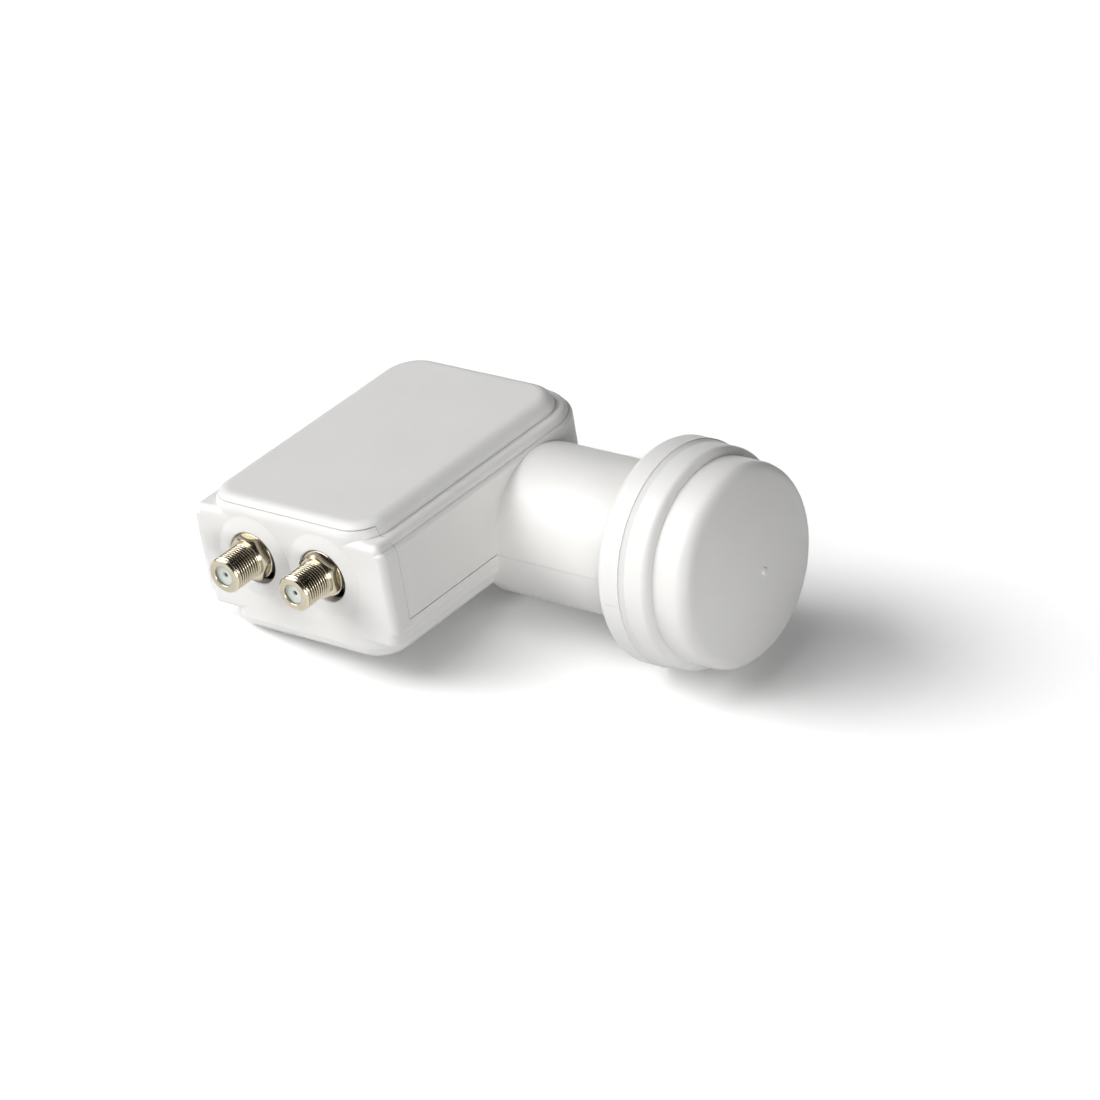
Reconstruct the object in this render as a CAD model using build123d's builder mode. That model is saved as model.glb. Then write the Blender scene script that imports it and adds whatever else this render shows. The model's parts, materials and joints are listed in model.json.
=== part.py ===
"""Twin-output satellite LNB: a flat stepped housing, a 40 mm neck and a domed feed cap.

The origin is on the neck axis where the neck leaves the housing's right wall.
+X runs along the neck towards the feed cap, -Y towards the two F connectors, +Z up
through the top plate. Millimetres.
"""
import os

from build123d import *

# Neck and feed end, measured along +X from the housing's right wall
neck_radius = 20.0
neck_length = 38.7
flange_width = 7.0
flange_radius = 28.9
flange_round = 2.4
flange_lip_round = 0.6
flange_wall = 3.9
rim_width = 8.4
rim_step = 0.65
rim_round = 2.0
drum_step = 2.15
drum_length = 9.5
drum_round = 4.0
dome_height = 5.0
nub_radius = 1.0
nub_height = 0.5

# Housing in plan: three nested slabs, flush at the connector end and stepped on the other sides
box_width = 62.9
front_reach = 60.0
back_reach = 25.7
band_inset = 1.1
plate_inset = 4.3
wall_corner_front = 2.0
wall_corner_back = 15.0
plate_corner_front = 8.8
plate_corner_back = 10.0
shell = 2.0

# Heights of the slabs above and below their middle plane, and the rounds on their rims
middle = 9.0
wall_half = 11.6
band_rise = 13.6
band_drop = 14.8
plate_rise = 17.5
plate_drop = 17.2
base_drop = 20.3
base_inset = 0.25
wall_round = 1.0
band_top_round = 1.8
band_low_round = 1.2
plate_round = 3.8
plate_low_round = 0.2
base_round = 3.0
post_radius = 2.2

# Parting line between the two shells
column_depth = 5.6
lip_height = 1.6
seam_gap = 0.2
neck_seam_gap = 0.06

# Connector end
connector_right_inset = 20.9
connector_left_inset = 19.0
connector_z = 11.6
hole_radius = 7.1
hole_drop = 0.65
hole_shift = 0.1
hole_round = 0.4
collar_radius = 11.3
collar_height = 0.65
collar_turn_radius = 9.9
collar_turn_height = 0.3
collar_foot = 0.03
thread_radius = 4.7625
thread_length = 9.1
thread_tip_round = 0.5
hex_flats = 11.0
hex_corner_radius = 6.2
hex_turns = {"right": 30.0, "left": 0.0}
hex_thickness = 2.0
hex_proud = 2.5
connector_bore = 3.1
insulator_recess = 0.5
socket_radius = 0.5
socket_depth = 6.0
contact_radius = 1.0
contact_recess = 1.6
pin_radius = 0.5
pin_length = 5.5
barrel_radius = 4.15
washer_thickness = 0.8
washer_radius = 6.3
washer_round = 0.2

# Casting: tray, deck, waveguide and corrugated horn
tray_side_gap = 2.7
tray_end_gap = 4.0
tray_back_gap = 6.5
tray_wall = 2.5
tray_floor = 2.0
tray_depth = 3.6
tray_corner = 3.0
tray_headroom = 5.0
boss_radius = 6.0
waveguide_radius = 8.75
waveguide_wall = 1.5
waveguide_start = 2.0
short_thickness = 2.0
horn_start = 30.0
horn_ring_start = 35.0
horn_throat_radius = 11.2
horn_gap = 0.7
horn_mouth_reach = 6.5
horn_back = 4.0
horn_slots = 3
horn_wall = 1.3
deck_width = 24.8
deck_length = 24.0

# Board, cover and their fasteners
board_thickness = 0.8
board_corner = 1.0
tongue_margin = 0.4
gasket_thickness = 0.5
cover_thickness = 1.4
rib_thickness = 1.2
rib_clearance = 0.3
cover_boss_radius = 3.0
cover_boss_inset = 4.4
cover_screw_radius = 1.25
cover_head_radius = 2.3
cover_head_height = 1.5
board_screw_radius = 1.0
board_head_radius = 1.9
board_head_height = 1.2
head_round = 0.4
screw_engagement = 3.0
standoff_radius = 3.0
board_screw_inset = 8.6
board_screw_front = 23.0
board_screw_back = 10.6
post_spread = 1.3

# Parts on the board
mixer_size = 6.0
mixer_height = 0.9
regulator_length = 6.5
regulator_width = 3.5
regulator_height = 1.6
crystal_length = 5.0
crystal_width = 3.2
crystal_height = 1.1
capacitor_length = 2.0
capacitor_width = 1.25
capacitor_height = 0.9
capacitor_pitch = 4.0

# Feed probes
probe_radius = 0.6
probe_bush_radius = 1.8
vertical_probe_x = 18.0
horizontal_probe_x = 8.5
isolation_pin_x = 13.2
isolation_pin_radius = 0.75
probe_depth = 5.2
probe_stub = 0.5
probe_bend = 1.4
probe_offset = 0.3

# Cap fitting
spigot_length = 4.2
spigot_wall = 2.6
cap_wall = 1.8
seal_section = 1.6
seal_room = 0.4

# Clearances
fit_gap = 0.2
close_gap = 0.05

os.makedirs("parts", exist_ok=True)

# Places worked out from the driving sizes
left = -box_width
right = 0.0
front = -front_reach
back = back_reach
centre_x = (left + right) / 2
plate_high = middle + plate_rise
plate_low = middle - plate_drop
base_low = middle - base_drop
inner_high = plate_high - shell
inner_low = base_low + shell
seam_y = front + column_depth
lip_z = plate_high - lip_height
flange_front = neck_length + flange_width
flange_bore = flange_radius - flange_wall
rim_radius = flange_radius - rim_step
drum_radius = rim_radius - drum_step
rim_front = flange_front + rim_width
drum_front = rim_front + drum_length
cap_tip = drum_front + dome_height
spigot_radius = flange_bore - fit_gap
spigot_back = flange_front - spigot_length
horn_mouth_radius = spigot_radius - spigot_wall - horn_gap
seal_x = flange_front - spigot_length / 2
connector_xs = {"right": right - connector_right_inset, "left": left + connector_left_inset}
hole_places = [(x + hole_shift, connector_z - hole_drop) for x in connector_xs.values()]
hex_front = front - hex_proud
hex_back = hex_front + hex_thickness
tip_y = hex_front - thread_length
boss_front = hex_back + washer_thickness
board_low = connector_z + pin_radius + close_gap
board_top = board_low + board_thickness
tray_left = left + shell + tray_side_gap
tray_right = right - shell - tray_side_gap
tray_front = front + shell + tray_end_gap
tray_back = back - shell - tray_back_gap
barrel_end = tray_front + tray_wall
floor_top = board_low - tray_depth
floor_low = floor_top - tray_floor
tray_top = board_top + tray_headroom
cover_low = tray_top + gasket_thickness
cover_top = cover_low + cover_thickness
waveguide_outer = waveguide_radius + waveguide_wall
horn_mouth = flange_front + horn_mouth_reach
probe_drop_y = waveguide_outer + probe_radius + probe_offset
tray_middle_y = (tray_front + tray_back) / 2
boss_xs = (tray_left + cover_boss_inset, tray_right - cover_boss_inset)
boss_ys = (tray_front + cover_boss_inset, tray_middle_y, tray_back - cover_boss_inset)
cover_places = [(x, y) for x in boss_xs for y in boss_ys]
quarter_x = (tray_right - tray_left) / 4
quarter_y = (tray_back - tray_front) / 4
board_xs = (tray_left + board_screw_inset, tray_right - board_screw_inset)
board_ys = (tray_front + board_screw_front, tray_back - board_screw_back)
board_places = [(x, y) for x in board_xs for y in board_ys]
post_places = [(centre_x + i * post_spread * quarter_x, tray_middle_y + j * post_spread * quarter_y)
               for i in (-1, 1) for j in (-1, 1)]


def plan(x0, x1, y0, y1, front_corner, back_corner=0.0):
    """Rectangle in plan with its two front and, if asked, its two back corners rounded."""
    with BuildSketch() as outline:
        with Locations(((x0 + x1) / 2, (y0 + y1) / 2)):
            Rectangle(x1 - x0, y1 - y0)
        fillet(outline.vertices().group_by(Axis.Y)[0], front_corner)
        if back_corner:
            fillet(outline.vertices().group_by(Axis.Y)[-1], back_corner)
    return outline.sketch


def inset_plan(inset, front_inset, front_corner, back_corner):
    """Outline of the box drawn in by an inset, with its own inset at the connector end."""
    return plan(left + inset, right - inset, front + front_inset, back - inset, front_corner, back_corner)


def slab(outline, low, high, low_round, high_round):
    """Outline extruded between two heights, with a round on its lower and its upper rim."""
    with BuildPart() as body:
        with BuildSketch(Plane.XY.offset(low)):
            add(outline)
        extrude(amount=high - low)
        fillet(body.faces().sort_by(Axis.Z)[0].edges(), low_round)
        fillet(body.faces().sort_by(Axis.Z)[-1].edges(), high_round)
    return body.part


def lower_zone(grow, neck_grow):
    """Space of the lower shell: all below the neck axis, and the connector end up to the lip."""
    reach = 4 * (box_width + cap_tip)
    with BuildPart() as zone:
        with Locations((right, 0, grow)):
            Box(reach, reach, reach, align=(Align.MAX, Align.CENTER, Align.MAX))
        with Locations((right, 0, neck_grow)):
            Box(reach, reach, reach, align=(Align.MIN, Align.CENTER, Align.MAX))
        with Locations((0, seam_y + grow, lip_z + grow)):
            Box(reach, reach, reach, align=(Align.CENTER, Align.MAX, Align.MAX))
    return zone.part


def end_plane(x, y, z=connector_z):
    """Plane across a connector axis, facing out of the connector end."""
    return Plane(origin=(x, y, z), x_dir=(1, 0, 0), z_dir=(0, -1, 0))


def finish(piece, name):
    """Label a piece and write its file."""
    piece.part.label = name
    export_step(piece.part, f"parts/{name}.step")


# Housing as one hollow form, before it is parted
with BuildPart() as housing:
    add(slab(inset_plan(0, 0, wall_corner_front, wall_corner_back),
             middle - wall_half, middle + wall_half, wall_round, wall_round))
    add(slab(inset_plan(band_inset, 0, wall_corner_front, wall_corner_back - band_inset),
             middle - band_drop, middle + band_rise, band_low_round, band_top_round))
    add(slab(inset_plan(plate_inset, 0, plate_corner_front, plate_corner_back),
             plate_low, plate_high, plate_low_round, plate_round))
    add(slab(inset_plan(plate_inset + base_inset, base_inset, plate_corner_front, plate_corner_back),
             base_low, middle, base_round, wall_round))
    # Neck with its flange; the root closes the neck below the stepped bottom
    with BuildSketch():
        with BuildLine():
            Polyline((-plate_inset - shell, 0), (-plate_inset - shell, neck_radius),
                     (neck_length, neck_radius), (neck_length, flange_radius),
                     (flange_front, flange_radius), (flange_front, 0), close=True)
        rim = make_face().vertices().group_by(Axis.Y)[-1].sort_by(Axis.X)
        fillet(rim[0], flange_round)
        fillet(rim[-1], flange_lip_round)
    revolve(axis=Axis.X)
    # Collars that swell round the connector holes
    for x, z in hole_places:
        with BuildSketch(Plane.XY.offset(z)):
            with BuildLine():
                Polyline((x + collar_radius, front - collar_foot), (x + collar_radius, front + shell / 2),
                         (x, front + shell / 2), (x, front - collar_height),
                         (x + hole_radius, front - collar_height))
                crest = TangentArc((x + hole_radius, front - collar_height),
                                   (x + collar_turn_radius, front - collar_turn_height), tangent=(1, 0))
                TangentArc(crest @ 1, (x + collar_radius, front - collar_foot), tangent=crest % 1)
            make_face()
        revolve(axis=Axis((x, front, z), (0, -1, 0)))
    # Room inside: a wide part between the walls, a taller part under the plates, the neck bore
    with BuildSketch(Plane.XY.offset(middle - wall_half + shell)):
        add(inset_plan(shell, shell, shell / 2, wall_corner_back - shell))
    extrude(amount=wall_half + band_rise - 2 * shell, mode=Mode.SUBTRACT)
    with BuildSketch(Plane.XY.offset(inner_low)):
        add(inset_plan(plate_inset + shell, shell, plate_corner_front - shell, plate_corner_back - shell))
    extrude(amount=lip_z - shell - inner_low, mode=Mode.SUBTRACT)
    with BuildSketch(Plane.XY.offset(lip_z - shell)):
        add(inset_plan(plate_inset + shell, column_depth, shell / 2, plate_corner_back - shell))
    extrude(amount=inner_high - lip_z + shell, mode=Mode.SUBTRACT)
    with BuildSketch(Plane.YZ.offset(-plate_inset)):
        Circle(neck_radius - shell)
    extrude(amount=neck_length + shell + plate_inset, mode=Mode.SUBTRACT)
    with BuildSketch(Plane.YZ.offset(neck_length + shell)):
        Circle(flange_bore)
    extrude(amount=flange_width - shell, mode=Mode.SUBTRACT)
    for x, z in hole_places:
        with BuildSketch(end_plane(x, front + shell, z)):
            Circle(hole_radius)
        extrude(amount=shell + collar_height, mode=Mode.SUBTRACT)
    hole_rims = housing.edges().filter_by(GeomType.CIRCLE).group_by(Axis.Y)[0]
    fillet(hole_rims.sort_by(SortBy.RADIUS)[:2], hole_round)

with BuildPart() as lower_shell:
    add(housing.part)
    add(lower_zone(0, 0), mode=Mode.INTERSECT)
    # Posts under the casting's tray
    with BuildSketch(Plane.XY.offset(inner_low - shell / 2)):
        with Locations(*post_places):
            Circle(post_radius)
    extrude(amount=floor_low - inner_low + shell / 2)
finish(lower_shell, "lower_shell")

with BuildPart() as upper_shell:
    add(housing.part)
    add(lower_zone(seam_gap, neck_seam_gap), mode=Mode.SUBTRACT)
    # Posts that hold the chamber cover down
    with BuildSketch(Plane.XY.offset(cover_top)):
        with Locations(*post_places):
            Circle(post_radius)
    extrude(amount=inner_high + shell / 2 - cover_top)
finish(upper_shell, "upper_shell")

# Feed cap: spigot, ring, drum and shallow dome in one moulding
with BuildPart() as feed_cap:
    with BuildSketch() as cap_section:
        with BuildLine():
            Polyline((cap_tip, 0), (spigot_back, 0), (spigot_back, spigot_radius),
                     (flange_front, spigot_radius), (flange_front, rim_radius), (rim_front, rim_radius),
                     (rim_front, drum_radius), (drum_front, drum_radius))
            TangentArc((cap_tip, 0), (drum_front, drum_radius), tangent=(0, 1))
        make_face()
        fillet(cap_section.vertices().group_by(Axis.Y)[-1].sort_by(Axis.X)[-1], rim_round)
        drum_corner = cap_section.vertices().sort_by_distance((drum_front, drum_radius))[0]
        fillet(drum_corner, drum_round)
    revolve(axis=Axis.X)
    with BuildSketch() as hollow_section:
        with BuildLine():
            Polyline((cap_tip - cap_wall, 0), (spigot_back, 0), (spigot_back, spigot_radius - spigot_wall),
                     (flange_front + cap_wall, spigot_radius - spigot_wall),
                     (flange_front + cap_wall, drum_radius - cap_wall),
                     (drum_front - cap_wall, drum_radius - cap_wall))
            TangentArc((cap_tip - cap_wall, 0), (drum_front - cap_wall, drum_radius - cap_wall),
                       tangent=(0, 1))
        make_face()
        hollow_corner = hollow_section.vertices().sort_by_distance((drum_front, drum_radius))[0]
        fillet(hollow_corner, drum_round - cap_wall)
    revolve(axis=Axis.X, mode=Mode.SUBTRACT)
    # Groove for the seal
    with BuildSketch(Plane.YZ.offset(seal_x - (seal_section + seal_room) / 2)):
        Circle(spigot_radius + fit_gap)
        Circle(flange_bore - seal_section - close_gap, mode=Mode.SUBTRACT)
    extrude(amount=seal_section + seal_room, mode=Mode.SUBTRACT)
    # Moulding nub at the middle of the dome
    with BuildSketch(Plane.YZ.offset(cap_tip - cap_wall / 2)):
        Circle(nub_radius)
    extrude(amount=cap_wall / 2 + nub_height)
    fillet(feed_cap.edges().filter_by(GeomType.CIRCLE).sort_by(Axis.X)[-1], nub_height)
finish(feed_cap, "feed_cap")

with BuildPart() as cap_seal:
    with BuildSketch():
        with Locations((seal_x, flange_bore - (seal_section + close_gap) / 2)):
            Circle(seal_section / 2)
    revolve(axis=Axis.X)
finish(cap_seal, "cap_seal")

# Die casting: board tray, deck, waveguide and corrugated horn
with BuildPart() as casting:
    with BuildSketch(Plane.XY.offset(floor_low)):
        add(plan(tray_left, tray_right, tray_front, tray_back, tray_corner, tray_corner))
    extrude(amount=tray_top - floor_low)
    with BuildSketch(Plane.XY.offset(floor_top)):
        add(plan(tray_left + tray_wall, tray_right - tray_wall, tray_front + tray_wall, tray_back - tray_wall,
                 tray_corner - tray_wall, tray_corner - tray_wall))
    extrude(amount=tray_top - floor_top, mode=Mode.SUBTRACT)
    with BuildSketch(Plane.XY.offset(floor_low)):
        with Locations(*cover_places):
            Circle(cover_boss_radius)
    extrude(amount=tray_top - floor_low)
    with BuildSketch(Plane.XY.offset(floor_low)):
        with Locations(*board_places):
            Circle(standoff_radius)
    extrude(amount=board_low - floor_low)
    for x in connector_xs.values():
        with BuildSketch(end_plane(x, barrel_end)):
            Circle(boss_radius)
        extrude(amount=barrel_end - boss_front)
    with BuildSketch(Plane.XY.offset(floor_top)):
        with Locations(((tray_right - tray_wall + deck_length) / 2, 0)):
            Rectangle(deck_length - tray_right + tray_wall, deck_width)
    extrude(amount=board_low - floor_top)
    # Waveguide and horn, turned about the neck axis
    with BuildSketch():
        with BuildLine():
            Polyline((waveguide_start, 0), (waveguide_start, waveguide_outer), (horn_start, waveguide_outer),
                     (horn_ring_start, neck_radius - shell - fit_gap),
                     (flange_front - horn_back, neck_radius - shell - fit_gap),
                     (flange_front - horn_back, horn_mouth_radius), (horn_mouth, horn_mouth_radius),
                     (horn_mouth, 0), close=True)
        make_face()
    revolve(axis=Axis.X)
    with BuildSketch():
        with BuildLine():
            Polyline((waveguide_start + short_thickness, 0),
                     (waveguide_start + short_thickness, waveguide_radius),
                     (horn_ring_start, waveguide_radius), (horn_mouth, horn_throat_radius),
                     (horn_mouth, 0), close=True)
        make_face()
    revolve(axis=Axis.X, mode=Mode.SUBTRACT)
    slot_zone = horn_mouth_radius - horn_throat_radius - horn_wall
    slot_pitch = slot_zone / horn_slots
    for k in range(horn_slots):
        slot_inner = horn_throat_radius + horn_wall + k * slot_pitch
        with BuildSketch(Plane.YZ.offset(horn_mouth)):
            Circle(slot_inner + slot_pitch - horn_wall)
            Circle(slot_inner, mode=Mode.SUBTRACT)
        extrude(amount=-horn_mouth_reach, mode=Mode.SUBTRACT)
    # Way through the right wall for the board's tongue
    with BuildSketch(Plane.XY.offset(board_low)):
        with Locations((tray_right - tray_wall / 2, 0)):
            Rectangle(tray_wall, deck_width)
    extrude(amount=2 * board_thickness, mode=Mode.SUBTRACT)
    # Holes for connectors, screws, probes and the isolation pin
    for x in connector_xs.values():
        with BuildSketch(end_plane(x, barrel_end)):
            Circle(barrel_radius + close_gap)
        extrude(amount=barrel_end - boss_front, mode=Mode.SUBTRACT)
    with BuildSketch(Plane.XY.offset(tray_top)):
        with Locations(*cover_places):
            Circle(cover_screw_radius + close_gap)
    extrude(amount=-screw_engagement - fit_gap, mode=Mode.SUBTRACT)
    with BuildSketch(Plane.XY.offset(board_low)):
        with Locations(*board_places):
            Circle(board_screw_radius + close_gap)
    extrude(amount=-screw_engagement - fit_gap, mode=Mode.SUBTRACT)
    with BuildSketch(Plane.XY):
        with Locations((vertical_probe_x, 0)):
            Circle(probe_bush_radius + close_gap)
    extrude(amount=board_low, mode=Mode.SUBTRACT)
    with BuildSketch(Plane.XY):
        with Locations((horizontal_probe_x, probe_drop_y)):
            Circle(probe_radius + fit_gap)
    extrude(amount=board_low, mode=Mode.SUBTRACT)
    with BuildSketch(Plane.XZ):
        with Locations((horizontal_probe_x, 0)):
            Circle(probe_bush_radius + close_gap)
    extrude(amount=-waveguide_outer, mode=Mode.SUBTRACT)
    with BuildSketch(Plane.XZ):
        with Locations((isolation_pin_x, 0)):
            Circle(isolation_pin_radius + close_gap)
    extrude(amount=waveguide_outer, both=True, mode=Mode.SUBTRACT)
finish(casting, "casting")

with BuildPart() as isolation_pin:
    with BuildSketch(Plane.XZ):
        with Locations((isolation_pin_x, 0)):
            Circle(isolation_pin_radius)
    extrude(amount=waveguide_outer - close_gap, both=True)
finish(isolation_pin, "isolation_pin")

# Board with a tongue that reaches over the waveguide
with BuildPart() as circuit_board:
    with BuildSketch(Plane.XY.offset(board_low)):
        edge = tray_wall + fit_gap
        add(plan(tray_left + edge, tray_right - edge, tray_front + edge, tray_back - edge,
                 board_corner, board_corner))
        with Locations(((tray_right - tray_wall + deck_length) / 2 - edge, 0)):
            Rectangle(deck_length - tray_right + tray_wall, deck_width - 2 * tongue_margin)
        with Locations(*cover_places):
            Circle(cover_boss_radius + fit_gap, mode=Mode.SUBTRACT)
        with Locations(*board_places):
            Circle(board_screw_radius + fit_gap, mode=Mode.SUBTRACT)
        with Locations((vertical_probe_x, 0), (horizontal_probe_x, probe_drop_y)):
            Circle(probe_radius + close_gap, mode=Mode.SUBTRACT)
    extrude(amount=board_thickness)
finish(circuit_board, "circuit_board")


def screws(places, seat, shank_radius, shank_length, head_radius, head_height):
    """One pan-head screw at each place, head down on the seat."""
    with BuildPart() as group:
        with BuildSketch(Plane.XY.offset(seat)):
            with Locations(*places):
                Circle(shank_radius)
        extrude(amount=-shank_length)
        with BuildSketch(Plane.XY.offset(seat)):
            with Locations(*places):
                Circle(head_radius)
        extrude(amount=head_height)
        fillet(group.faces().filter_by(Axis.Z).group_by(Axis.Z)[-1].edges(), head_round)
    return group


finish(screws(board_places, board_top, board_screw_radius, board_thickness + screw_engagement,
              board_head_radius, board_head_height), "board_screws")
finish(screws(cover_places, cover_top, cover_screw_radius,
              cover_thickness + gasket_thickness + screw_engagement,
              cover_head_radius, cover_head_height), "cover_screws")

with BuildPart() as cover_gasket:
    with BuildSketch(Plane.XY.offset(tray_top)):
        add(plan(tray_left, tray_right, tray_front, tray_back, tray_corner, tray_corner))
        add(plan(tray_left + tray_wall, tray_right - tray_wall, tray_front + tray_wall, tray_back - tray_wall,
                 tray_corner - tray_wall, tray_corner - tray_wall), mode=Mode.SUBTRACT)
        with Locations(*cover_places):
            Circle(cover_screw_radius + fit_gap, mode=Mode.SUBTRACT)
    extrude(amount=gasket_thickness)
finish(cover_gasket, "cover_gasket")

# Cover with the screening ribs that part the chamber
with BuildPart() as chamber_cover:
    with BuildSketch(Plane.XY.offset(cover_low)):
        add(plan(tray_left, tray_right, tray_front, tray_back, tray_corner, tray_corner))
        with Locations(*cover_places):
            Circle(cover_screw_radius + fit_gap, mode=Mode.SUBTRACT)
    extrude(amount=cover_thickness)
    with BuildSketch(Plane.XY.offset(board_top + rib_clearance)):
        with Locations((centre_x, tray_middle_y)):
            Rectangle(rib_thickness, 3 * quarter_y)
            Rectangle(2 * quarter_x, rib_thickness)
    extrude(amount=cover_low - board_top - rib_clearance)
finish(chamber_cover, "chamber_cover")

# Feed probes with their bushes
with BuildPart() as vertical_probe:
    with BuildSketch(Plane.XY.offset(waveguide_radius - probe_depth)):
        with Locations((vertical_probe_x, 0)):
            Circle(probe_radius)
    extrude(amount=board_top + probe_stub - waveguide_radius + probe_depth)
finish(vertical_probe, "vertical_probe")

with BuildPart() as horizontal_probe:
    with BuildLine() as route:
        FilletPolyline((horizontal_probe_x, probe_drop_y, board_top + probe_stub),
                       (horizontal_probe_x, probe_drop_y, 0),
                       (horizontal_probe_x, waveguide_radius - probe_depth, 0), radius=probe_bend)
    with BuildSketch(Plane(origin=route.line @ 0, z_dir=route.line % 0)):
        Circle(probe_radius)
    sweep()
finish(horizontal_probe, "horizontal_probe")

with BuildPart() as vertical_probe_bush:
    with BuildSketch(Plane.XY.offset(waveguide_radius)):
        with Locations((vertical_probe_x, 0)):
            Circle(probe_bush_radius)
            Circle(probe_radius + close_gap, mode=Mode.SUBTRACT)
    extrude(amount=board_low - waveguide_radius)
finish(vertical_probe_bush, "vertical_probe_bush")

with BuildPart() as horizontal_probe_bush:
    with BuildSketch(Plane.XZ.offset(-waveguide_radius)):
        with Locations((horizontal_probe_x, 0)):
            Circle(probe_bush_radius)
            Circle(probe_radius + close_gap, mode=Mode.SUBTRACT)
    extrude(amount=-waveguide_wall)
finish(horizontal_probe_bush, "horizontal_probe_bush")


def on_board(places, length, width, height):
    """Flat packages that sit on the board's upper side."""
    with BuildPart() as group:
        with BuildSketch(Plane.XY.offset(board_top)):
            with Locations(*places):
                Rectangle(length, width)
        extrude(amount=height)
    return group


chip_y = tray_middle_y - quarter_y
for side, x in (("right", centre_x + quarter_x), ("left", centre_x - quarter_x)):
    finish(on_board([(x, chip_y)], mixer_size, mixer_size, mixer_height), f"mixer_chip_{side}")
finish(on_board([(centre_x + quarter_x, tray_middle_y + quarter_y / 2)],
                regulator_length, regulator_width, regulator_height), "regulator")
finish(on_board([(centre_x - quarter_x, tray_middle_y + quarter_y / 2)],
                crystal_length, crystal_width, crystal_height), "crystal")
capacitor_places = [(x + k * capacitor_pitch, chip_y - mixer_size) for x in
                    (centre_x - quarter_x, centre_x + quarter_x) for k in (-1, 0, 1)]
finish(on_board(capacitor_places, capacitor_width, capacitor_length, capacitor_height), "filter_capacitors")

# F connectors: body, insulator, contact and washer on each axis
for side, x in connector_xs.items():
    with BuildPart() as connector_body:
        with BuildSketch(end_plane(x, hex_back)):
            RegularPolygon(hex_flats / 2, 6, major_radius=False, rotation=hex_turns[side])
            Circle(hex_corner_radius, mode=Mode.INTERSECT)
        extrude(amount=hex_thickness)
        with BuildSketch(end_plane(x, hex_front)):
            Circle(thread_radius)
        extrude(amount=thread_length)
        fillet(connector_body.edges().filter_by(GeomType.CIRCLE).sort_by(Axis.Y)[0], thread_tip_round)
        with BuildSketch(end_plane(x, barrel_end)):
            Circle(barrel_radius)
        extrude(amount=barrel_end - hex_back)
        with BuildSketch(end_plane(x, barrel_end)):
            Circle(connector_bore)
        extrude(amount=barrel_end - tip_y, mode=Mode.SUBTRACT)
    finish(connector_body, f"connector_body_{side}")

    with BuildPart() as insulator:
        with BuildSketch(end_plane(x, barrel_end)):
            Circle(connector_bore - close_gap)
        extrude(amount=barrel_end - tip_y - insulator_recess)
        with BuildSketch(end_plane(x, barrel_end)):
            Circle(socket_radius + close_gap)
        extrude(amount=barrel_end - tip_y, mode=Mode.SUBTRACT)
        with BuildSketch(end_plane(x, barrel_end)):
            Circle(contact_radius + close_gap)
        extrude(amount=barrel_end - tip_y - contact_recess, mode=Mode.SUBTRACT)
    finish(insulator, f"insulator_{side}")

    with BuildPart() as contact:
        with BuildSketch(end_plane(x, barrel_end)):
            Circle(contact_radius)
        extrude(amount=barrel_end - tip_y - contact_recess - close_gap)
        with BuildSketch(end_plane(x, tip_y)):
            Circle(socket_radius)
        extrude(amount=-contact_recess - socket_depth, mode=Mode.SUBTRACT)
        with BuildSketch(end_plane(x, barrel_end + pin_length)):
            Circle(pin_radius)
        extrude(amount=pin_length)
    finish(contact, f"contact_{side}")

    with BuildPart() as connector_washer:
        with BuildSketch(end_plane(x, boss_front)):
            Circle(washer_radius)
            Circle(barrel_radius + close_gap, mode=Mode.SUBTRACT)
        extrude(amount=washer_thickness)
        rims = connector_washer.edges().filter_by(GeomType.CIRCLE).sort_by(SortBy.RADIUS)
        fillet(rims[-2:], washer_round)
    finish(connector_washer, f"connector_washer_{side}")
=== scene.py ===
"""Twin-output satellite LNB at rest on a pale studio floor."""
import json
import math

import bmesh
import bpy
from mathutils import Matrix, Vector


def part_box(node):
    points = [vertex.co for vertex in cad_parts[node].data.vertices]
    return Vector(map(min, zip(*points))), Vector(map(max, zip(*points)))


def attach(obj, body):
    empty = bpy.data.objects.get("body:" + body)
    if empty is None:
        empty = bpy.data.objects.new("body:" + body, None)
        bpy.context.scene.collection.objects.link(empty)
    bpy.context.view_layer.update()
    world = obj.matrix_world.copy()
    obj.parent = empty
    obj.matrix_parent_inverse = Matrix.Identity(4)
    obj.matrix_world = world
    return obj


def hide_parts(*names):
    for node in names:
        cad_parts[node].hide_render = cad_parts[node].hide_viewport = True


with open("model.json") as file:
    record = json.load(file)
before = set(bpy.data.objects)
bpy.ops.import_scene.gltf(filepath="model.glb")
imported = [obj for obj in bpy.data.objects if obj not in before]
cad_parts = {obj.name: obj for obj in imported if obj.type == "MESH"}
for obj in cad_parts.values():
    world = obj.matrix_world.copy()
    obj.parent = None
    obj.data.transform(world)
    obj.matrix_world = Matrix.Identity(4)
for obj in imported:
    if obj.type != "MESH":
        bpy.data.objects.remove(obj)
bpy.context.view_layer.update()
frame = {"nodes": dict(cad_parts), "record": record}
nodes = frame["nodes"]
scene = bpy.context.scene

MM = 0.001

# Camera, from the photograph: place in millimetres, turn from part to image, focal length in pixels
FRAME_PX = 1100.0
FOCAL_PX = 5045.317
SENSOR = 36.0
CAMERA_PLACE = (767.381, -819.764, 594.403)
CAMERA_TURN = (2.026770, 0.600708, -0.566332)
CLIP_NEAR = 0.01
CLIP_FAR = 50.0

# Floor: it leans because the part lies on its flange and on the far bottom edge of its housing
FLOOR_TILT = math.radians(10.34)
FLOOR_EDGES = (-0.5, 4.0, -4.0, 4.0)
FLOOR_PATCH = 30
FLOOR_ROUGH = (0.8, 0.95)

# Floor brightness to camera and mirror rays, and in the light that it throws back
FLOOR_SEEN = 1.5
FLOOR_BOUNCE = 0.5

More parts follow.
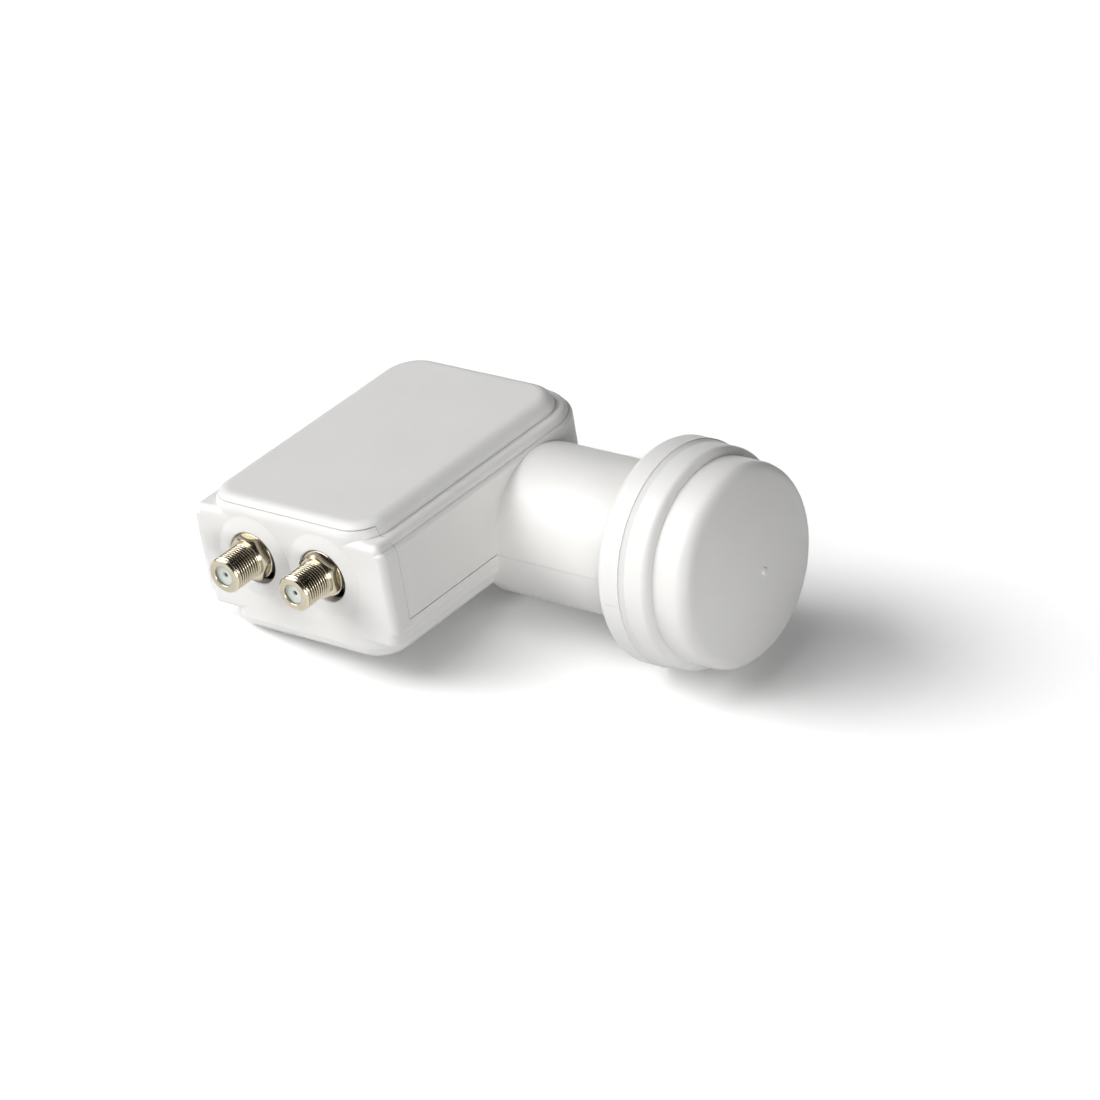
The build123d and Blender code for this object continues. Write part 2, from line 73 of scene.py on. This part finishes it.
# Painted shade on the floor: beside the connector end it shows only a share of its brightness, and all of
# it past a reach
FLOOR_SHADED_SHARE = 0.72
FLOOR_SHADE_PLACE = (-0.071, -0.055, 0.0)
FLOOR_SHADE_REACH = 0.08

# Studio lights: azimuth and elevation in degrees, power in watts, size in metres
KEY = (220, 40, 80, 2.5)
LOW_LEFT = (210, 25, 50, 2.5)
FRONT_FILL = (315, 5, 75, 1.5)
RIGHT_FILL = (60, 20, 8, 1.5)
OVERHEAD = (225, 80, 12, 1.5)
LIGHT_DISTANCE = 3.25
SURROUND = 0.025

# Ramp between flange and cap ring, in millimetres
RIM_STEP = 0.65
RAMP_BACK = 0.24
RAMP_DROP = 0.12
RAMP_LENGTH = 1.6
RAMP_SINK = 0.01
RAMP_ROOT_BACK = 0.1
RAMP_ROOT_DROP = 0.3

# Connector detail, in millimetres; crest and root are shares of half a pitch
THREAD_RADIUS = 4.7625
THREAD_LENGTH = 9.1
THREAD_PITCH = 0.794
THREAD_DEPTH = 0.49
THREAD_CREST = 0.16
THREAD_ROOT = 0.12
THREAD_RELIEF = 0.3
THREAD_START = 0.1
TIP_PLAIN = 0.6
TIP_CHAMFER = 0.45
TIP_INSET = 0.15
TIP_BREAK = 0.05
TIP_RUNOUT = 0.08
LIP_RADIUS = 2.75
LIP_DEPTH = 0.42
LIP_CHAMFER = 0.07
LIP_BREAK = 0.04
HEX_FLATS = 11.0
HEX_THICKNESS = 2.0
HEX_TURNS = {"right": math.radians(30), "left": 0.0}
HEX_CHAMFER = math.tan(math.radians(30))
HEX_CHAMFER_START = 0.96
HEX_CORNER_RADIUS = 6.2
HEX_BREAK = 0.1
BARREL_RADIUS = 4.15
BORE_RADIUS = 3.1

# Insulator detail, in millimetres
INSULATOR_RECESS = 0.8
INSULATOR_GAP = 0.05
INSULATOR_BREAK = 0.1
SOCKET_RADIUS = 0.55
SOCKET_DISH = 0.85
DISH_DEPTH = 0.3
CONTACT_RADIUS = 1.05
CONTACT_RECESS = 1.6

# Mesh of the turned pieces
SPOKES = 120
ROWS_PER_TURN = 18
SHARP_ANGLE = math.radians(28)

# Painted shade: a layer of depths from 0 to 1 on the mesh, deep in thread grooves, partly on the hexagon's
# sides and in the insulator's dish, full in its socket, and the dark colours that the deepest places take
PAINTED_SHADE_LAYER = "groove"
PAINTED_SHADE_SHARE = 0.9
HEX_PAINTED_SHADE = 0.35
DISH_PAINTED_SHADE = 0.6
NICKEL_PAINTED_SHADE = (0.09, 0.065, 0.035)
INSULATOR_PAINTED_SHADE = (0.10, 0.10, 0.095)

# White plastic lets a little light in, by a scale in millimetres
PLASTIC_IOR = 1.49
PLASTIC_SCATTER = 0.15
PLASTIC_SCATTER_RADIUS = (1.0, 0.95, 0.9)
PLASTIC_SCATTER_SCALE = 0.6

# Noise: the run of values that is stretched, its detail, and how much finer gloss varies than colour
NOISE_LOW = 0.3
NOISE_HIGH = 0.7
PATCH_DETAIL = 3.0
GRAIN_DETAIL = 2.0
GLOSS_FINER = 6

# Colour sockets of a mix node
MIX_FIRST = 6
MIX_SECOND = 7
MIX_RESULT = 2


def principled(name):
    """A new node material, its node tree and its main shader."""
    material = bpy.data.materials.new(name)
    material.use_nodes = True
    tree = material.node_tree
    return material, tree, tree.nodes["Principled BSDF"]


def noise(tree, scale, detail=PATCH_DETAIL):
    """Noise in the piece's own coordinates, metres, as a 0 to 1 factor."""
    place = tree.nodes.new("ShaderNodeTexCoord")
    texture = tree.nodes.new("ShaderNodeTexNoise")
    texture.inputs["Scale"].default_value = scale
    texture.inputs["Detail"].default_value = detail
    tree.links.new(place.outputs["Object"], texture.inputs["Vector"])
    return texture.outputs["Fac"]


def spread(tree, factor, low, high, at_low=NOISE_LOW, at_high=NOISE_HIGH):
    """A factor stretched to run between two numbers."""
    node = tree.nodes.new("ShaderNodeMapRange")
    for key, value in (("From Min", at_low), ("From Max", at_high), ("To Min", low), ("To Max", high)):
        node.inputs[key].default_value = value
    tree.links.new(factor, node.inputs["Value"])
    return node.outputs["Result"]


def tint(tree, factor, first, second):
    """A 0 to 1 factor turned into a colour between two."""
    node = tree.nodes.new("ShaderNodeValToRGB")
    for stop, place, colour in zip(node.color_ramp.elements, (NOISE_LOW, NOISE_HIGH), (first, second)):
        stop.position = place
        stop.color = (*colour, 1)
    tree.links.new(factor, node.inputs["Fac"])
    return node.outputs["Color"]


def bump(tree, shader, height, distance):
    """Surface relief from a factor, its depth in millimetres."""
    node = tree.nodes.new("ShaderNodeBump")
    node.inputs["Distance"].default_value = distance * MM
    tree.links.new(height, node.inputs["Height"])
    tree.links.new(node.outputs["Normal"], shader.inputs["Normal"])


def surface(name, first, second, patch, rough, grain, depth, metal=0.0):
    """Material with two close colours in patches, uneven gloss and a fine relief."""
    material, tree, shader = principled(name)
    tree.links.new(tint(tree, noise(tree, patch), first, second), shader.inputs["Base Color"])
    tree.links.new(spread(tree, noise(tree, patch * GLOSS_FINER), *rough), shader.inputs["Roughness"])
    bump(tree, shader, noise(tree, grain, GRAIN_DETAIL), depth)
    shader.inputs["Metallic"].default_value = metal
    return material


def paint_groove_shade(material, colour):
    """Painted shade: a darker colour where the mesh layer of painted shade is deep."""
    tree = material.node_tree
    shader = tree.nodes["Principled BSDF"]
    layer = tree.nodes.new("ShaderNodeAttribute")
    layer.attribute_name = PAINTED_SHADE_LAYER
    either = tree.nodes.new("ShaderNodeMix")
    either.data_type = "RGBA"
    either.inputs[MIX_SECOND].default_value = (*colour, 1)
    tree.links.new(spread(tree, layer.outputs["Fac"], 0.0, PAINTED_SHADE_SHARE, 0.0, 1.0), either.inputs["Factor"])
    tree.links.new(shader.inputs["Base Color"].links[0].from_socket, either.inputs[MIX_FIRST])
    tree.links.new(either.outputs[MIX_RESULT], shader.inputs["Base Color"])


finishes = {
    "white_plastic": surface("white_plastic", (0.784, 0.778, 0.762), (0.809, 0.803, 0.786),
                             patch=45, rough=(0.40, 0.50), grain=2600, depth=0.010),
    "connector_nickel": surface("connector_nickel", (0.500, 0.450, 0.345), (0.560, 0.510, 0.400),
                                patch=260, rough=(0.14, 0.21), grain=5200, depth=0.002, metal=1.0),
    "insulator_plastic": surface("insulator_plastic", (0.630, 0.680, 0.640), (0.690, 0.730, 0.695),
                                 patch=420, rough=(0.30, 0.42), grain=4200, depth=0.006),
    "contact_metal": surface("contact_metal", (0.520, 0.430, 0.230), (0.640, 0.540, 0.320),
                             patch=800, rough=(0.22, 0.34), grain=6000, depth=0.003, metal=1.0),
    "cast_metal": surface("cast_metal", (0.480, 0.480, 0.480), (0.600, 0.600, 0.590),
                          patch=320, rough=(0.42, 0.62), grain=1500, depth=0.030, metal=1.0),
    "seal_rubber": surface("seal_rubber", (0.640, 0.640, 0.625), (0.700, 0.700, 0.680),
                           patch=300, rough=(0.62, 0.80), grain=2400, depth=0.020),
    "steel": surface("steel", (0.500, 0.500, 0.510), (0.610, 0.610, 0.610),
                     patch=600, rough=(0.24, 0.38), grain=4200, depth=0.004, metal=1.0),
    "board_laminate": surface("board_laminate", (0.012, 0.090, 0.040), (0.022, 0.130, 0.062),
                              patch=520, rough=(0.30, 0.45), grain=1900, depth=0.012),
    "chip_plastic": surface("chip_plastic", (0.016, 0.016, 0.017), (0.030, 0.030, 0.031),
                            patch=900, rough=(0.48, 0.62), grain=3800, depth=0.008),
    "ceramic": surface("ceramic", (0.420, 0.330, 0.240), (0.520, 0.430, 0.330),
                       patch=1100, rough=(0.38, 0.52), grain=5200, depth=0.005),
}
# Painted shade in the nickel's thread grooves and on its hexagons, and in the insulator's dish and socket
paint_groove_shade(finishes["connector_nickel"], NICKEL_PAINTED_SHADE)
paint_groove_shade(finishes["insulator_plastic"], INSULATOR_PAINTED_SHADE)
plastic = finishes["white_plastic"].node_tree.nodes["Principled BSDF"]
plastic.inputs["IOR"].default_value = PLASTIC_IOR
plastic.inputs["Subsurface Weight"].default_value = PLASTIC_SCATTER
plastic.inputs["Subsurface Radius"].default_value = PLASTIC_SCATTER_RADIUS
plastic.inputs["Subsurface Scale"].default_value = PLASTIC_SCATTER_SCALE * MM

# Each carried-over solid takes the finish of its slot in the record
for part in frame["record"]["subparts"]:
    mesh = nodes[part["node"]].data
    mesh.materials.clear()
    mesh.materials.append(finishes[part["material_slot"]])


def at_angle(value, angle):
    """A ring's value at an angle: a number, or a function of the angle."""
    return value(angle) if callable(value) else value


def lathe(name, rings, place, slot):
    """A closed piece of rings, each with its place along the axis, radius and share of painted shade, 0 to
    1.
    """
    angles = [math.tau * spoke / SPOKES for spoke in range(SPOKES)]
    shape = bmesh.new()
    layer = shape.verts.layers.float.new(PAINTED_SHADE_LAYER)
    grid = []
    for ring_along, ring_radius, ring_shade in rings:
        row = []
        for angle in angles:
            along = at_angle(ring_along, angle)
            radius = at_angle(ring_radius, angle)
            point = place(along, radius * math.cos(angle), radius * math.sin(angle))
            vert = shape.verts.new(Vector(point) * MM)
            # Each vertex keeps its ring's share of painted shade
            vert[layer] = at_angle(ring_shade, angle)
            row.append(vert)
        grid.append(row)
    for this, other in zip(grid, grid[1:] + grid[:1]):
        for spoke in range(SPOKES):
            following = (spoke + 1) % SPOKES
            shape.faces.new((this[spoke], this[following], other[following], other[spoke]))
    bmesh.ops.recalc_face_normals(shape, faces=shape.faces)
    mesh = bpy.data.meshes.new(name)
    shape.to_mesh(mesh)
    shape.free()
    mesh.shade_smooth()
    mesh.set_sharp_from_angle(angle=SHARP_ANGLE)
    mesh.materials.append(finishes[slot])
    piece = bpy.data.objects.new(name, mesh)
    scene.collection.objects.link(piece)
    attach(piece, "root")
    return piece


def groove_depth(along, angle):
    """Depth of the thread's groove, 0 to 1, at a distance from the hexagon and an angle round the axis."""
    phase = (along / THREAD_PITCH - angle / math.tau) % 1.0
    from_crest = abs(phase - 0.5) * 2
    groove = min(1.0, max(0.0, (from_crest - THREAD_CREST) / (1 - THREAD_CREST - THREAD_ROOT)))
    from_hex = min(1.0, max(0.0, along - THREAD_RELIEF) / THREAD_PITCH)
    to_tip = min(1.0, max(0.0, THREAD_LENGTH - TIP_PLAIN - along) / THREAD_PITCH)
    return groove * min(from_hex, to_tip)


def thread_ring(place, along):
    """One ring of the thread, at a place on the axis and a distance from the hexagon."""

    def depth(angle):
        """Depth of the groove in this ring, which is also its share of painted shade."""
        return groove_depth(along, angle)

    def radius(angle):
        """Radius of the threaded stub in this ring."""
        return THREAD_RADIUS - THREAD_DEPTH * depth(angle)

    return place, radius, depth


def hexagon_radius(angle):
    """Distance from the axis to the hexagon's side at an angle from a corner, its corners turned down."""
    sixth = math.tau / 6
    across = angle % sixth - sixth / 2
    return min(HEX_FLATS / 2 / math.cos(across), HEX_CORNER_RADIUS)


def connector(side):
    """Connector body with its helical thread, hexagon, barrel and lipped bore, and its insulator."""
    low, high = (Vector(c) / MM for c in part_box(f"connector_body_{side}"))
    tip, barrel_end = low.y, high.y
    x, z = (low.x + high.x) / 2, (low.z + high.z) / 2

    def place(along, right, up):
        """A point beside the connector's axis, which runs along Y."""
        return x + right, along, z + up

    hex_front = tip + THREAD_LENGTH
    hex_back = hex_front + HEX_THICKNESS
    chamfer_start = HEX_CHAMFER_START * HEX_FLATS / 2

    def outline(angle):
        """The hexagon's outline with this connector's own turn."""
        return hexagon_radius(angle - HEX_TURNS[side])

    def chamfer_end(angle):
        """Where the hexagon's front chamfer meets its side."""
        return hex_front + (outline(angle) - chamfer_start) * HEX_CHAMFER

    thread_front = tip + TIP_CHAMFER + THREAD_START
    thread_run = hex_front - thread_front
    rows = round(thread_run / THREAD_PITCH * ROWS_PER_TURN)
    thread_places = [thread_front + thread_run * row / rows for row in range(rows + 1)]
    body = lathe(f"threaded_connector_{side}", [
        (barrel_end, BORE_RADIUS, 0),
        (tip + LIP_DEPTH + LIP_BREAK, BORE_RADIUS, 0),
        (tip + LIP_DEPTH, BORE_RADIUS - LIP_BREAK, 0),
        (tip + LIP_DEPTH, LIP_RADIUS, 0),
        (tip + LIP_CHAMFER, LIP_RADIUS, 0),
        (tip, LIP_RADIUS + LIP_CHAMFER, 0),
        (tip, THREAD_RADIUS - TIP_CHAMFER - TIP_INSET, 0),
        (tip + TIP_BREAK, THREAD_RADIUS - TIP_CHAMFER, 0),
        (tip + TIP_CHAMFER, THREAD_RADIUS - TIP_BREAK, 0),
        (tip + TIP_CHAMFER + TIP_RUNOUT, THREAD_RADIUS, 0),
        # Thread rings: painted shade in the grooves, as deep as each groove
        *(thread_ring(y, hex_front - y) for y in thread_places),
        (hex_front, chamfer_start, 0),
        # Hexagon sides: a share of painted shade
        (chamfer_end, outline, HEX_PAINTED_SHADE),
        (hex_back - HEX_BREAK, outline, HEX_PAINTED_SHADE),
        (hex_back, lambda angle: outline(angle) - HEX_BREAK, HEX_PAINTED_SHADE),
        (hex_back, BARREL_RADIUS, 0),
        (barrel_end, BARREL_RADIUS, 0),
    ], place, "connector_nickel")
    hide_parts(f"connector_body_{side}")

    front = tip + INSULATOR_RECESS
    socket_end = tip + CONTACT_RECESS
    outer = BORE_RADIUS - INSULATOR_GAP
    insulator = lathe(f"dished_insulator_{side}", [
        (barrel_end, outer, 0),
        (front + INSULATOR_BREAK, outer, 0),
        (front, outer - INSULATOR_BREAK, 0),
        (front, SOCKET_DISH, 0),
        # Dish floor, socket and contact bore: painted shade, full in the socket and bore
        (front + DISH_DEPTH, SOCKET_RADIUS, DISH_PAINTED_SHADE),
        (socket_end, SOCKET_RADIUS, 1),
        (socket_end, CONTACT_RADIUS, 1),
        (barrel_end, CONTACT_RADIUS, 1),
    ], place, "insulator_plastic")
    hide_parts(f"insulator_{side}")


def rim_ramp():
    """Soft ramp from the flange's front edge down to the cap's ring, round the feed axis along X."""
    low, high = (Vector(c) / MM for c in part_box("lower_shell"))
    flange_front, flange_radius = high.x, -low.z
    rim_radius = flange_radius - RIM_STEP
    lathe("rim_ramp", [
        (flange_front - RAMP_BACK, flange_radius - RAMP_DROP, 0),
        (flange_front + RAMP_LENGTH, rim_radius - RAMP_SINK, 0),
        (flange_front - RAMP_ROOT_BACK, rim_radius - RAMP_ROOT_DROP, 0),
    ], lambda along, right, up: (along, right, up), "white_plastic")


def floor_paper():
    """Pale paper, brighter to camera and mirror rays than in the light that it throws back, with painted
    shade beside the connector end.
    """
    material, tree, shader = principled("floor_paper")
    place = tree.nodes.new("ShaderNodeTexCoord")
    reach = tree.nodes.new("ShaderNodeVectorMath")
    reach.operation = "DISTANCE"
    reach.inputs[1].default_value = FLOOR_SHADE_PLACE
    tree.links.new(place.outputs["Object"], reach.inputs[0])
    # Painted shade: the floor is darker near the connector end
    seen = spread(tree, reach.outputs["Value"], FLOOR_SHADED_SHARE * FLOOR_SEEN, FLOOR_SEEN, 0.0, FLOOR_SHADE_REACH)
    path = tree.nodes.new("ShaderNodeLightPath")
    direct = tree.nodes.new("ShaderNodeMath")
    direct.operation = "MAXIMUM"
    tree.links.new(path.outputs["Is Camera Ray"], direct.inputs[0])
    tree.links.new(path.outputs["Is Glossy Ray"], direct.inputs[1])
    white = tree.nodes.new("ShaderNodeMix")
    white.data_type = "RGBA"
    white.inputs[MIX_FIRST].default_value = (FLOOR_BOUNCE, FLOOR_BOUNCE, FLOOR_BOUNCE, 1)
    tree.links.new(seen, white.inputs[MIX_SECOND])
    tree.links.new(direct.outputs["Value"], white.inputs["Factor"])
    tree.links.new(white.outputs[MIX_RESULT], shader.inputs["Base Color"])
    tree.links.new(spread(tree, noise(tree, FLOOR_PATCH), *FLOOR_ROUGH), shader.inputs["Roughness"])
    shader.inputs["Specular IOR Level"].default_value = 0.0
    return material


def lay_floor():
    """Floor under the lowest point of shell and cap, leaning about the part's Y axis."""
    normal = Vector((math.sin(FLOOR_TILT), 0, math.cos(FLOOR_TILT)))
    resting = [vert.co for name in ("lower_shell", "feed_cap") for vert in nodes[name].data.vertices]
    lowest = min(point @ normal for point in resting)
    x0, x1, y0, y1 = FLOOR_EDGES
    mesh = bpy.data.meshes.new("floor")
    mesh.from_pydata([(x0, y0, 0), (x1, y0, 0), (x1, y1, 0), (x0, y1, 0)], [], [(0, 1, 2, 3)])
    mesh.materials.append(floor_paper())
    floor = bpy.data.objects.new("floor", mesh)
    floor.matrix_world = Matrix.Translation(normal * lowest) @ Matrix.Rotation(FLOOR_TILT, 4, "Y")
    scene.collection.objects.link(floor)


def softbox(azimuth, elevation, power, size):
    """Square area light that faces the part from a direction in degrees above the leaning floor."""
    turn, rise = math.radians(azimuth), math.radians(elevation)
    level = Vector((math.cos(rise) * math.cos(turn), math.cos(rise) * math.sin(turn), math.sin(rise)))
    away = Matrix.Rotation(FLOOR_TILT, 3, "Y") @ level
    light = bpy.data.lights.new(f"softbox_{azimuth}_{elevation}", "AREA")
    light.size = size
    light.energy = power
    lamp = bpy.data.objects.new(light.name, light)
    lamp.location = away * LIGHT_DISTANCE
    lamp.rotation_euler = away.to_track_quat("Z", "Y").to_euler()
    lamp.visible_camera = False
    scene.collection.objects.link(lamp)


def studio_surround():
    """World that is white to camera rays and dim for everything else."""
    world = bpy.data.worlds.new("studio")
    world.use_nodes = True
    tree = world.node_tree
    dim = tree.nodes["Background"]
    dim.inputs["Color"].default_value = (1, 1, 1, 1)
    dim.inputs["Strength"].default_value = SURROUND
    bright = tree.nodes.new("ShaderNodeBackground")
    bright.inputs["Color"].default_value = (1, 1, 1, 1)
    path = tree.nodes.new("ShaderNodeLightPath")
    either = tree.nodes.new("ShaderNodeMixShader")
    tree.links.new(path.outputs["Is Camera Ray"], either.inputs["Fac"])
    tree.links.new(dim.outputs["Background"], either.inputs[1])
    tree.links.new(bright.outputs["Background"], either.inputs[2])
    tree.links.new(either.outputs["Shader"], tree.nodes["World Output"].inputs["Surface"])
    scene.world = world


def photo_camera():
    """Camera at the photograph's viewing angle."""
    camera = bpy.data.cameras.new("camera")
    camera.sensor_fit = "HORIZONTAL"
    camera.sensor_width = SENSOR
    camera.lens = SENSOR * FOCAL_PX / FRAME_PX
    camera.clip_start = CLIP_NEAR
    camera.clip_end = CLIP_FAR
    holder = bpy.data.objects.new("camera", camera)
    scene.collection.objects.link(holder)
    turn = Vector(CAMERA_TURN)
    to_image = Matrix.Rotation(turn.length, 3, turn.normalized())
    facing = to_image.transposed() @ Matrix.Diagonal((1, -1, -1))
    holder.matrix_world = Matrix.Translation(Vector(CAMERA_PLACE) * MM) @ facing.to_4x4()
    scene.camera = holder


for side in ("right", "left"):
    connector(side)
rim_ramp()
lay_floor()
for light in (KEY, LOW_LEFT, FRONT_FILL, RIGHT_FILL, OVERHEAD):
    softbox(*light)
studio_surround()
photo_camera()
scene.view_settings.view_transform = "Standard"
